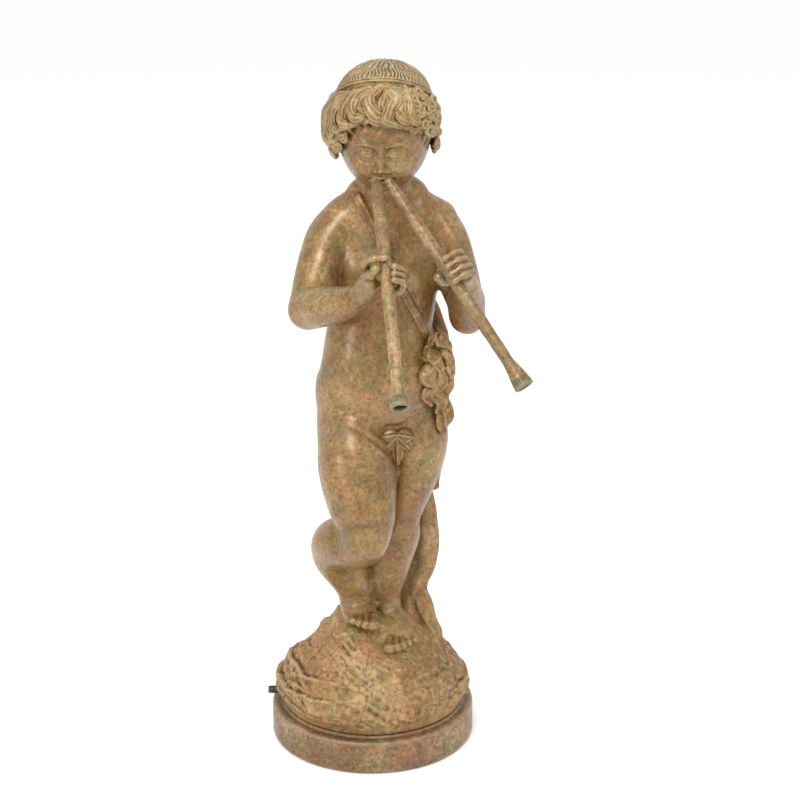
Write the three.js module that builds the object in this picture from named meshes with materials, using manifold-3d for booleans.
// A bronze fountain figure, one metre tall: a small child plays a double pipe, with the right knee
// forward, on a rock mound over a round plinth. Water comes out of the bells of both pipes.
// Millimetres, +Z up. The figure faces -Y, and its own right hand is on -X.
// The origin is the centre of the plinth's underside.
import * as THREE from "three";
import { mergeVertices } from "three/addons/utils/BufferGeometryUtils.js";
import Module from "manifold-3d";

const wasm = await Module();
wasm.setup();

const TURN = 2 * Math.PI;
const X_AXIS = new THREE.Vector3(1, 0, 0);
const Y_AXIS = new THREE.Vector3(0, 1, 0);
const Z_AXIS = new THREE.Vector3(0, 0, 1);
const GAP = 0.35; // the clearance left between neighbouring castings

// Driving dimensions
const PLINTH = { radius: 148, height: 50, bevel: 4, bead_radius: 129, bead_width: 4, bead_height: 3 };
const MOUND = { foot: PLINTH.height + PLINTH.bead_height + GAP, summit: 198, summit_x: -2, summit_y: -8 };
const HEAD = { x: 19, y: -30, z: 911, bow: 12, turn: 4 }; // the centre of the skull, and degrees
const CAP = { width: 69, depth: 81, height: 84, squareness: 0.78 };
const BAND = { height: 41, slope: 1.1, width: 11, rise: 3 }; // its plane on the head is z = height - slope * y
const HAIRLINE = { brow: 70, temple: 110, nape: 126 }; // degrees down from the crown
const PIPE = {
  mouth_radius: 6.6, tube_radius: 8.6, neck_radius: 7.6, bell_radius: 13.2, bell: 40,
  bore_radius: 7.5, bore: 26,
};
const RIGHT_PIPE = { mouth: [8, -87, 852], bell: [36, -322, 615] };
const LEFT_PIPE = { mouth: [22.5, -87, 852], bell: [198, -236, 613] };
const STRAP = { shoulder: [-17, 0, 812], hip: [93, 0, 590], width: 13, rise: 4.5 };
const INLET = {
  y: -2, z: 61.5, outer_radius: 5.6, bore_radius: 3.6, bore: 22, inner_end: -104, outer_end: -154,
};

// Turns a geometry into a manifold-3d solid: only position is kept, and equal vertices are merged.
function solid(geometry) {
  const bare = new THREE.BufferGeometry().setAttribute("position", geometry.getAttribute("position"));
  if (geometry.index) bare.setIndex(geometry.index);
  const merged = mergeVertices(bare, 1e-3);
  return new wasm.Manifold(
    new wasm.Mesh({
      numProp: 3,
      vertProperties: merged.attributes.position.array,
      triVerts: new Uint32Array(merged.index.array),
    }),
  );
}

function join(...solids) {
  return solids.flat().reduce((whole, piece) => whole.add(piece));
}

// A closed skin over rings of equal length, in order, with a pole before the first and after the last.
function skin(rings, firstPole, lastPole) {
  const sides = rings[0].length;
  const points = [firstPole, ...rings.flat(), lastPole];
  const at = (ring, side) => 1 + ring * sides + (side % sides);
  const last = points.length - 1;
  const faces = [];
  for (let side = 0; side < sides; side++) {
    faces.push(0, at(0, side + 1), at(0, side));
    faces.push(last, at(rings.length - 1, side), at(rings.length - 1, side + 1));
    for (let ring = 0; ring + 1 < rings.length; ring++) {
      faces.push(at(ring, side), at(ring, side + 1), at(ring + 1, side));
      faces.push(at(ring, side + 1), at(ring + 1, side + 1), at(ring + 1, side));
    }
  }
  const geometry = new THREE.BufferGeometry().setFromPoints(points).setIndex(faces);
  const made = solid(geometry);
  if (made.volume() > 0) return made;
  for (let i = 0; i < faces.length; i += 3) [faces[i + 1], faces[i + 2]] = [faces[i + 2], faces[i + 1]];
  return solid(geometry.setIndex(faces));
}

// An oval section carried along a smooth curve through stations of [x, y, z, half width, half depth].
// The width lies along `across`, both ends are domes, and `relief` adds flesh by height and by angle round.
function limb(stations, { sides = 12, steps = 8, across = X_AXIS, domes = 1, end = 1, relief } = {}) {
  const smoothCurve = (points) => new THREE.CatmullRomCurve3(points, false, "centripetal");
  const line = smoothCurve(stations.map(([x, y, z]) => new THREE.Vector3(x, y, z)));
  const sizes = smoothCurve(stations.map(([, , , wide, deep]) => new THREE.Vector3(wide, deep ?? wide, 0)));
  const ring = (centre, tangent, wide, deep, flesh = () => 0) => {
    const u = across.clone().addScaledVector(tangent, -across.dot(tangent)).normalize();
    const v = tangent.clone().cross(u);
    return Array.from({ length: sides }, (_, i) => {
      const angle = (TURN * i) / sides;
      const more = flesh(centre.z, angle);
      return centre.clone()
        .addScaledVector(u, (wide + more) * Math.cos(angle))
        .addScaledVector(v, (deep + more) * Math.sin(angle));
    });
  };
  const dome = (t, sign) => {
    const centre = line.getPoint(t);
    const tangent = line.getTangent(t);
    const size = sizes.getPoint(t);
    const reach = Math.min(size.x, size.y) * end * sign;
    const rings = Array.from({ length: domes }, (_, i) => {
      const angle = ((i + 1) / (domes + 1)) * (Math.PI / 2);
      const place = centre.clone().addScaledVector(tangent, reach * Math.sin(angle));
      return ring(place, tangent, size.x * Math.cos(angle), size.y * Math.cos(angle));
    });
    return { rings, pole: centre.clone().addScaledVector(tangent, reach) };
  };
  const body = Array.from({ length: steps + 1 }, (_, i) => {
    const size = sizes.getPoint(i / steps);
    return ring(line.getPoint(i / steps), line.getTangent(i / steps), size.x, size.y, relief);
  });
  const first = dome(0, -1);
  const last = dome(1, 1);
  return skin([...first.rings.reverse(), ...body, ...last.rings], first.pole, last.pole);
}

// An ellipsoid with three half sizes, turned by degrees about X, Y and Z.
function ball([x, y, z], [a, b, c], turn = [0, 0, 0], sides = 12, rows = 8) {
  const place = new THREE.Matrix4().compose(
    new THREE.Vector3(x, y, z),
    new THREE.Quaternion().setFromEuler(new THREE.Euler(...turn.map(THREE.MathUtils.degToRad), "ZYX")),
    new THREE.Vector3(a, b, c),
  );
  return solid(new THREE.SphereGeometry(1, sides, rows).applyMatrix4(place));
}

// The head's own frame: x to its left side, y to the back and z to the crown, in millimetres from its centre.
const radians = THREE.MathUtils.degToRad;
const headFrame = new THREE.Matrix4().compose(
  new THREE.Vector3(HEAD.x, HEAD.y, HEAD.z),
  new THREE.Quaternion().setFromEuler(new THREE.Euler(radians(HEAD.bow), 0, radians(-HEAD.turn), "ZYX")),
  new THREE.Vector3(1, 1, 1),
);
const onHead = (x, y, z) => new THREE.Vector3(x, y, z).applyMatrix4(headFrame);

// A smooth hill of height 1 at (atX, atZ), with its two widths.
const bump = (x, z, atX, atZ, sizeX, sizeZ) => Math.exp(-(((x - atX) / sizeX) ** 2) - ((z - atZ) / sizeZ) ** 2);

// The skull and face: rings from the chin to the crown. The front half carries the features as smooth bumps.
function skullAndFace() {
  const levels = [-76, -70, -62, -54, -48, -42, -36, -30, -22, -14, -5, 8, 28, 50, 68];
  const sides = 20;
  const roundness = (z) => (1 - (Math.abs(z) / (z < 0 ? 84 : 82)) ** (z < 0 ? 4 : 2)) ** 0.5;
  const widthAt = (z) => (z < 0 ? 63 * (1 - 0.27 * (-z / 78) ** 1.8) : 63) * roundness(z);
  const frontAt = (z) => (z < 0 ? 77 - 7 * (-z / 78) : 77) * roundness(z);
  const backAt = (z) => 76 * roundness(z) * (z < -20 ? 1 - 0.45 * ((-z - 20) / 58) : 1);
  const features = (x, z) =>
    14 * bump(x, z, 0, -31, 8, 9) + 8 * bump(x, z, 0, -16, 6, 12) + 4 * bump(x, z, 0, 5, 40, 10) -
    6 * bump(Math.abs(x), z, 21, -9, 13, 8) + 4 * bump(Math.abs(x), z, 20, -10, 9, 5) +
    5 * bump(Math.abs(x), z, 32, -33, 16, 15) + 7 * bump(x, z, 0, -47, 13, 7) + 5 * bump(x, z, 0, -67, 13, 8);
  const rings = levels.map((z) =>
    Array.from({ length: sides }, (_, i) => {
      const angle = (TURN * i) / sides;
      const x = widthAt(z) * Math.cos(angle);
      const front = Math.sin(angle) < 0;
      const y = (front ? frontAt(z) : backAt(z)) * Math.sin(angle);
      return onHead(x, front ? y - features(x, z) * Math.abs(Math.sin(angle)) : y, z);
    }),
  );
  return skin(rings, onHead(0, -8, -79), onHead(0, 4, 79));
}

const smooth = (from, to, value) => {
  const share = Math.min(1, Math.max(0, (value - from) / (to - from)));
  return share * share * (3 - 2 * share);
};

// The cap of hair close to the skull: `fall` is the angle down from the crown, `angle` goes round it.
function capPoint(fall, angle, grow = 0) {
  const flat = Math.max(0, Math.sin(fall)) ** CAP.squareness;
  const up = Math.sign(Math.cos(fall)) * Math.abs(Math.cos(fall)) ** CAP.squareness;
  const width = (CAP.width + grow) * flat * Math.cos(angle);
  const depth = (CAP.depth + grow) * flat * Math.sin(angle);
  return new THREE.Vector3(width, depth, (CAP.height + grow) * up);
}

// How far down the hair goes, as an angle from the crown, by the angle round from the brow.
function hairEdge(fromFront) {
  const { brow, temple, nape } = HAIRLINE;
  const atSide = (temple - brow) * smooth(34, 62, fromFront);
  const atBack = (nape - temple) * smooth(95, 150, fromFront);
  return radians(brow + atSide + atBack);
}

// The curly hair: a flat cap behind the band, and before it thick locks that swell out and roll under at a
// hairline, which is high over the brow and low at the ears and the nape.
function hair() {
  const sides = 34;
  const rows = 11;
  const locks = 11;
  const rings = Array.from({ length: rows }, (_, row) => {
    const share = (row + 1) / rows;
    return Array.from({ length: sides }, (_, i) => {
      const angle = (TURN * i) / sides;
      const fromFront = THREE.MathUtils.radToDeg(Math.acos(-Math.sin(angle)));
      const fall = share * hairEdge(fromFront);
      const base = capPoint(fall, angle);
      const ahead = (BAND.height - base.z - BAND.slope * base.y) / Math.hypot(1, BAND.slope);
      const loose = smooth(0, 24, ahead) * Math.sqrt(Math.max(0, 1 - Math.max(0, (share - 0.66) / 0.35) ** 2));
      const wave = Math.cos(locks * angle + 3.4 * share) * Math.cos(7 * share + 1.5 * Math.sin(2 * angle));
      const swell = loose * (12 + 3.5 * wave);
      const out = base.clone().normalize();
      return onHead(...base.addScaledVector(out, swell).toArray());
    });
  });
  const inside = rings[rings.length - 1].map((p) => p.clone().lerp(onHead(0, 10, 10), 0.35));
  return skin([...rings, inside], onHead(0, 0, CAP.height), onHead(0, 10, 10));
}

// A slab through `centre`, wide enough to cut a band from a body: `width` thick along `normal`.
function slab(centre, normal, length, width) {
  const turn = new THREE.Quaternion().setFromUnitVectors(Z_AXIS, normal.clone().normalize());
  const place = new THREE.Matrix4().compose(centre, turn, new THREE.Vector3(1, 1, 1));
  return solid(new THREE.BoxGeometry(length, 300, width).applyMatrix4(place));
}

// The band stands a little above the hair, in a plane that rises from the nape to the top of the head.
function headband() {
  const rings = Array.from({ length: 17 }, (_, row) =>
    Array.from({ length: 28 }, (_, i) =>
      onHead(...capPoint(((row + 1) * Math.PI) / 18, (TURN * i) / 28, BAND.rise).toArray())));
  const cap = skin(rings, onHead(0, 0, CAP.height + BAND.rise), onHead(0, 0, -CAP.height - BAND.rise));
  const normal = new THREE.Vector3(0, BAND.slope, 1).transformDirection(headFrame);
  return cap.intersect(slab(onHead(0, 0, BAND.height), normal, 300, BAND.width));
}

// Body sections go from the seat to the neck, each as [x, y, z, half width, half depth].
const torsoStations = [
  [18, 12, 440, 54, 42],
  [16, 10, 462, 78, 52],
  [15, 6, 485, 90, 59],
  [13, 2, 507, 91, 63],
  [9, -4, 530, 88, 66],
  [9, -8, 556, 84, 67],
  [8, -8, 586, 75, 65],
  [11, -7, 612, 73, 61],
  [16, -3, 650, 72, 57],
  [20, 0, 690, 74, 53],
  [23, 2, 722, 80, 50],
  [23, 4, 750, 92, 45],
  [24, 5, 776, 96, 40],
  [23, 4, 797, 82, 35],
  [23, 2, 812, 57, 31],
];
// Flesh on the torso: two breast muscles, a dip down the spine and the buttocks. `angle` is 90 degrees
// negative at the middle of the front.
const torsoRelief = (z, angle) => {
  const fromFront = Math.acos(Math.min(1, Math.max(-1, -Math.sin(angle))));
  const fromBack = Math.PI - fromFront;
  return 5 * Math.exp(-(((fromFront - 0.55) / 0.4) ** 2) - ((z - 712) / 26) ** 2) +
    17 * Math.exp(-(((fromBack - 0.62) / 0.45) ** 2) - ((z - 478) / 32) ** 2) -
    4 * Math.exp(-((fromBack / 0.3) ** 2) - ((z - 640) / 90) ** 2);
};
const neckStations = [
  [22, 0, 798, 37, 35],
  [20, -8, 830, 34, 34],
  [18, -14, 862, 36, 38],
];

// The free leg: the thigh comes forward over the other one, and the shin goes back to a foot on its toes.
const rightThigh = [
  [-22, 12, 514, 42, 48],
  [-26, 0, 490, 51, 57],
  [-26, -26, 466, 50, 60],
  [-22, -46, 440, 54, 60],
  [-18, -60, 413, 53, 56],
  [-14, -72, 388, 49, 52],
  [-10, -84, 362, 43, 45],
  [-9, -90, 340, 34, 36],
];
const rightShin = [
  [-10, -84, 338, 35, 35],
  [-34, -60, 325, 41, 38],
  [-50, -34, 306, 38, 38],
  [-50, -24, 285, 34, 35],
  [-36, -16, 257, 31, 31],
  [-26, -10, 230, 27, 27],
  [-24, -6, 212, 24, 24],
];
const rightFoot = [
  [-28, 24, 214, 18, 18],
  [-26, 4, 216, 23, 22],
  [-21, -20, 207, 26, 19],
  [-15, -44, 197, 25, 12],
];
// The standing leg
const leftThigh = [
  [46, 8, 512, 44, 48],
  [53, 4, 486, 53, 57],
  [58, 2, 452, 51, 57],
  [57, -2, 420, 45, 51],
  [53, -6, 392, 37, 44],
  [45, -12, 362, 30, 38],
  [41, -16, 343, 28, 33],
];
const leftShin = [
  [40, -14, 345, 28, 33],
  [38, -8, 312, 31, 34],
  [29, -4, 280, 31, 33],
  [21, -2, 246, 29, 29],
  [20, -2, 214, 22, 23],
  [24, 0, 194, 17, 22],
];
const leftFoot = [
  [22, 22, 186, 17, 18],
  [25, -4, 188, 21, 22],
  [32, -30, 176, 23, 17],
  [40, -54, 165, 24, 11],
];
const rightUpperArm = [
  [-37, 5, 774, 31, 34],
  [-54, -1, 749, 34, 37],
  [-68, -18, 717, 32, 34],
  [-82, -50, 678, 28, 29],
];
const rightForearm = [
  [-86, -60, 665, 28, 29],
  [-65, -92, 679, 27, 28],
  [-36, -125, 693, 22, 23],
  [-15, -146, 708, 16, 18],
];
const leftUpperArm = [
  [84, 5, 774, 31, 34],
  [99, 4, 748, 34, 37],
  [114, -3, 712, 31, 33],
  [131, -12, 660, 26, 27],
];
const leftForearm = [
  [133, -16, 642, 26, 27],
  [130, -46, 672, 26, 26],
  [128, -76, 696, 21, 22],
  [124, -98, 718, 17, 18],
];

// The palm and fingers of a hand round a pipe. A finger's joints lie on arcs about the pipe's axis, so they
// wrap it from the palm's side. `side` is the way round, and `grip` is how far down the pipe, as a share.
function hand(pipe, grip, wrist, side) {
  const mouth = new THREE.Vector3(...pipe.mouth);
  const axis = new THREE.Vector3(...pipe.bell).sub(mouth);
  const length = axis.length();
  axis.normalize();
  const centre = mouth.clone().addScaledVector(axis, grip * length);
  const toWrist = new THREE.Vector3(...wrist).sub(centre);
  const reach = toWrist.clone().addScaledVector(axis, -toWrist.dot(axis)).normalize();
  const round = axis.clone().cross(reach).multiplyScalar(side);
  const about = (down, radius, degrees) => {
    const angle = radians(degrees);
    return centre.clone().addScaledVector(axis, down)
      .addScaledVector(reach, radius * Math.cos(angle)).addScaledVector(round, radius * Math.sin(angle));
  };
  const station = (point, wide, deep = wide) => [point.x, point.y, point.z, wide, deep];
  const palm = limb(
    [
      station(new THREE.Vector3(...wrist), 15, 17),
      station(about(-2, 36, 12), 12, 20),
      station(about(-2, 24, 34), 9, 20),
    ],
    { sides: 9, steps: 3, across: round });
  const fingers = [-18, -6.5, 5, 16].map((down, i) => {
    const size = 6.8 - 0.4 * Math.abs(i - 1);
    const curl = [150, 158, 166, 172][i];
    return limb(
      [
        station(about(down * 0.9, 27, 28), size + 0.8),
        station(about(down, 27, 68), size),
        station(about(down, 20.5, curl - 46), size - 0.4),
        station(about(down, 15, curl), size - 1.2),
      ],
      { sides: 6, steps: 4, across: axis });
  });
  const thumb = limb(
    [
      station(about(-12, 29, -10), 8.4),
      station(about(-17, 21, -52), 7.4),
      station(about(-20, 15.6, -104), 6.2),
    ],
    { sides: 6, steps: 3, across: axis });
  return join(palm, fingers, thumb);
}

// Five toes in a row across the end of a foot, the big one on the inner side.
function toes(stations, inner, drop) {
  const [x, y, z, wide] = stations[stations.length - 1];
  return [0, 1, 2, 3, 4].map((i) => {
    const size = 9.5 - 1.1 * i;
    const across = inner * (wide - 8 - i * (wide * 0.38));
    const place = [x + across, y - 13 + 1.3 * i * i, z - drop + 0.5 * i];
    return ball(place, [size, size * 1.75, size], [14, 0, 0], 6, 5);
  });
}

// The sling's flat strap lies on the body from the right side of the neck to the left hip, front and back.
function strap() {
  const from = new THREE.Vector3(...STRAP.shoulder);
  const to = new THREE.Vector3(...STRAP.hip);
  const along = to.clone().sub(from);
  const grown = torsoStations.map(([x, y, z, wide, deep]) => [x, y, z, wide + STRAP.rise, deep + STRAP.rise]);
  const body = limb(grown, { sides: 18, steps: 16, relief: torsoRelief });
  const middle = from.clone().add(to).multiplyScalar(0.5);
  const normal = along.clone().cross(Y_AXIS).normalize();
  return body.intersect(slab(middle, normal, along.length() + 40, STRAP.width));
}

// The knot on the hip with its two ends, and the rolled skin and short tail that hang behind it.
function slingBundle() {
  const knot = [
    ball([84, -28, 588], [22, 20, 24], [0, 0, 20], 8, 6),
    ball([94, -38, 600], [12, 12, 12], [0, 0, 20], 8, 6),
    ball([107, -34, 578], [11, 12, 13], [20, 0, 0], 8, 6),
    ball([86, -47, 577], [10, 10, 14], [0, 20, 0], 8, 6),
  ];
  const foldedEnd = limb(
    [[87, -50, 580, 11, 8], [80, -54, 556, 11, 8], [86, -52, 540, 13, 8], [84, -50, 528, 6, 5]],
    { sides: 8, steps: 5 });
  const twistedEnd = limb(
    [
      [104, -40, 576, 9, 11], [104, -40, 548, 8, 10], [104, -38, 522, 12, 12],
      [103, -36, 500, 10, 11], [102, -32, 484, 9, 9],
    ],
    { sides: 8, steps: 8 });
  const roll = limb(
    [[66, 50, 652, 17, 14], [82, 40, 628, 18, 16], [92, 22, 600, 16, 16], [98, -8, 586, 12, 13]],
    { sides: 8, steps: 5 });
  const tail = limb(
    [[80, 36, 470, 16, 13], [86, 34, 420, 14, 12], [88, 32, 370, 11, 10]],
    { sides: 8, steps: 4, end: 0.25 });
  return join(knot, foldedEnd, twistedEnd, roll, tail);
}

// The tree trunk that carries the figure from behind the standing leg, with a root down to the rock.
function trunk() {
  const bole = limb(
    [
      [62, 46, 372, 16, 17], [70, 48, 345, 19, 20], [74, 50, 315, 22, 22], [75, 50, 280, 24, 24],
      [71, 50, 245, 24, 24], [64, 46, 215, 20, 22], [60, 42, 190, 20, 22], [62, 34, 160, 30, 28],
      [66, 28, 135, 38, 32],
    ],
    { sides: 12, steps: 11 });
  const root = limb(
    [[70, 34, 200, 12, 12], [80, 18, 176, 13, 13], [86, 4, 156, 13, 11], [92, -8, 136, 9, 8]],
    { sides: 8, steps: 5 });
  return join(bole, root);
}

// A three-lobed vine leaf lies over the loins.
function vineLeaf() {
  const lobes = [-38, 0, 38].map((lean) => {
    const angle = radians(lean);
    return ball([35 + 12 * Math.sin(angle), -50, 462 - 12 * Math.cos(angle)], [9, 9, 17], [0, -lean, 0], 8, 6);
  });
  return join(lobes);
}

// The mound's outer surface: rings rise from the plinth, ledges of rock run round it, and the top is
// pulled towards the summit. `grow` swells it evenly, to cut its neighbours with a gap.
function moundSkin(grow = 0) {
  const sides = 32;
  const profile = [
    [127, 0], [135, 0.06], [139, 0.2], [132, 0.36], [115, 0.49], [99, 0.59],
    [86, 0.68], [70, 0.78], [55, 0.87], [39, 0.93], [18, 0.98],
  ];
  const height = MOUND.summit - MOUND.foot;
  const rings = profile.map(([radius, share]) =>
    Array.from({ length: sides }, (_, i) => {
      const angle = (TURN * i) / sides;
      const ledge = Math.sin(3 * angle + 9 * share) * 3 + Math.sin(7 * angle - 14 * share) * 2.2;
      const hollow = 8 * bump(angle, share, 2.9, 0.56, 0.8, 0.2);
      const knob = 15 * bump(angle, share, 2.45, 0.93, 0.4, 0.08);
      const rough = share > 0 ? ledge * Math.min(1, radius / 90) - hollow + knob : 0;
      const r = radius + rough + grow;
      return new THREE.Vector3(
        MOUND.summit_x * share ** 2 + r * Math.cos(angle),
        MOUND.summit_y * share ** 2 + r * Math.sin(angle),
        MOUND.foot + height * share + (share > 0 ? grow : -grow),
      );
    }),
  );
  const pole = (share, rise) =>
    new THREE.Vector3(MOUND.summit_x * share, MOUND.summit_y * share, MOUND.foot + height * share + rise);
  return skin(rings, pole(0, -grow), pole(1, grow));
}

// Turns a lathe profile of [radius, distance] about the line from one point to another.
function turned(profile, from, to, sides) {
  const direction = new THREE.Vector3(...to).sub(new THREE.Vector3(...from)).normalize();
  const place = new THREE.Matrix4().compose(
    new THREE.Vector3(...from),
    new THREE.Quaternion().setFromUnitVectors(Y_AXIS, direction),
    new THREE.Vector3(1, 1, 1),
  );
  const outline = profile.map(([radius, along]) => new THREE.Vector2(radius, along));
  return solid(new THREE.LatheGeometry(outline, sides).applyMatrix4(place));
}

const distance = (a, b) => new THREE.Vector3(...a).distanceTo(new THREE.Vector3(...b));

function pipe({ mouth, bell }) {
  const length = distance(mouth, bell);
  return turned(
    [
      [0, 0], [PIPE.mouth_radius - 1.5, 0], [PIPE.mouth_radius, 2], [PIPE.mouth_radius + 0.6, 18],
      [PIPE.tube_radius, 60], [PIPE.tube_radius, length * 0.55], [PIPE.neck_radius, length - PIPE.bell],
      [PIPE.neck_radius + 1.6, length - PIPE.bell * 0.7], [PIPE.bell_radius - 0.8, length - PIPE.bell * 0.3],
      [PIPE.bell_radius, length], [PIPE.bore_radius + 2, length], [PIPE.bore_radius, length - 6],
      [PIPE.bore_radius - 1.5, length - PIPE.bore], [0, length - PIPE.bore],
    ],
    mouth, bell, 12);
}

// A plain rod round a pipe, wider than it by the gap, that clears its way through hands and lips.
function pipeWay({ mouth, bell }) {
  const length = distance(mouth, bell);
  return turned(
    [
      [0, -GAP], [PIPE.mouth_radius + GAP, -GAP], [PIPE.mouth_radius + 0.6 + GAP, 18],
      [PIPE.tube_radius + GAP, 60], [PIPE.tube_radius + GAP, length - PIPE.bell], [0, length - PIPE.bell],
    ],
    mouth, bell, 12);
}

function plinth() {
  const { radius, height, bevel, bead_radius, bead_width, bead_height } = PLINTH;
  return turned(
    [
      [0, 0], [radius - bevel, 0], [radius - 1, bevel], [radius, height - bevel], [radius - bevel, height],
      [bead_radius + bead_width, height], [bead_radius + bead_width / 2, height + bead_height],
      [0, height + bead_height],
    ],
    [0, 0, 0], [0, 0, 1], 44);
}

function inletStub(grow = 0) {
  const from = [INLET.inner_end + grow, INLET.y, INLET.z];
  const to = [INLET.outer_end, INLET.y, INLET.z];
  const length = distance(from, to);
  const outer = INLET.outer_radius + grow;
  if (grow) return turned([[0, 0], [outer, 0], [outer, length], [0, length]], from, to, 16);
  return turned(
    [
      [0, 0], [outer, 0], [outer, length], [INLET.bore_radius, length],
      [INLET.bore_radius, length - INLET.bore], [0, length - INLET.bore],
    ],
    from, to, 16);
}

function figure() {
  const torso = limb(torsoStations, { sides: 16, steps: 15, relief: torsoRelief });
  const legs = [rightThigh, rightShin, leftThigh, leftShin].map((form) => limb(form, { sides: 11, steps: 7 }));
  const arms = [rightUpperArm, rightForearm, leftUpperArm, leftForearm].map((form) =>
    limb(form, { sides: 10, steps: 5 }));
  const feet = [rightFoot, leftFoot].map((form) => limb(form, { sides: 10, steps: 5, end: 0.8 }));
  const whole = join(
    torso, legs, arms, feet, limb(neckStations, { sides: 12, steps: 3 }),
    toes(rightFoot, 1, 3), toes(leftFoot, -1, 3),
    hand(RIGHT_PIPE, 0.43, rightForearm.at(-1), -1), hand(LEFT_PIPE, 0.46, leftForearm.at(-1), 1),
    skullAndFace(), hair(), headband(), strap(), slingBundle(), trunk(), vineLeaf(),
  );
  return whole.subtract(moundSkin(GAP)).subtract(pipeWay(RIGHT_PIPE)).subtract(pipeWay(LEFT_PIPE));
}

// Puts a finished solid into a named mesh.
function mesh(name, made, material) {
  const { vertProperties, triVerts } = made.getMesh();
  const geometry = new THREE.BufferGeometry()
    .setAttribute("position", new THREE.BufferAttribute(new Float32Array(vertProperties), 3))
    .setIndex(new THREE.BufferAttribute(new Uint32Array(triVerts), 1));
  geometry.computeVertexNormals();
  const result = new THREE.Mesh(geometry, material);
  result.name = name;
  return result;
}

const patinatedBronze = new THREE.MeshStandardMaterial({ color: 0xa88a5c, roughness: 0.5, metalness: 0.35 });
const pipeBronze = new THREE.MeshStandardMaterial({ color: 0x9c8a66, roughness: 0.45, metalness: 0.4 });
const fittingMetal = new THREE.MeshStandardMaterial({ color: 0x4b4c45, roughness: 0.5, metalness: 0.7 });

const statue = new THREE.Group();
statue.add(mesh("figure", figure(), patinatedBronze));
statue.add(mesh("rock_mound", moundSkin().subtract(inletStub(GAP)), patinatedBronze));
statue.add(mesh("plinth", plinth(), patinatedBronze));
statue.add(mesh("right_pipe", pipe(RIGHT_PIPE), pipeBronze));
statue.add(mesh("left_pipe", pipe(LEFT_PIPE), pipeBronze));
statue.add(mesh("water_inlet", inletStub(), fittingMetal));

export default statue;
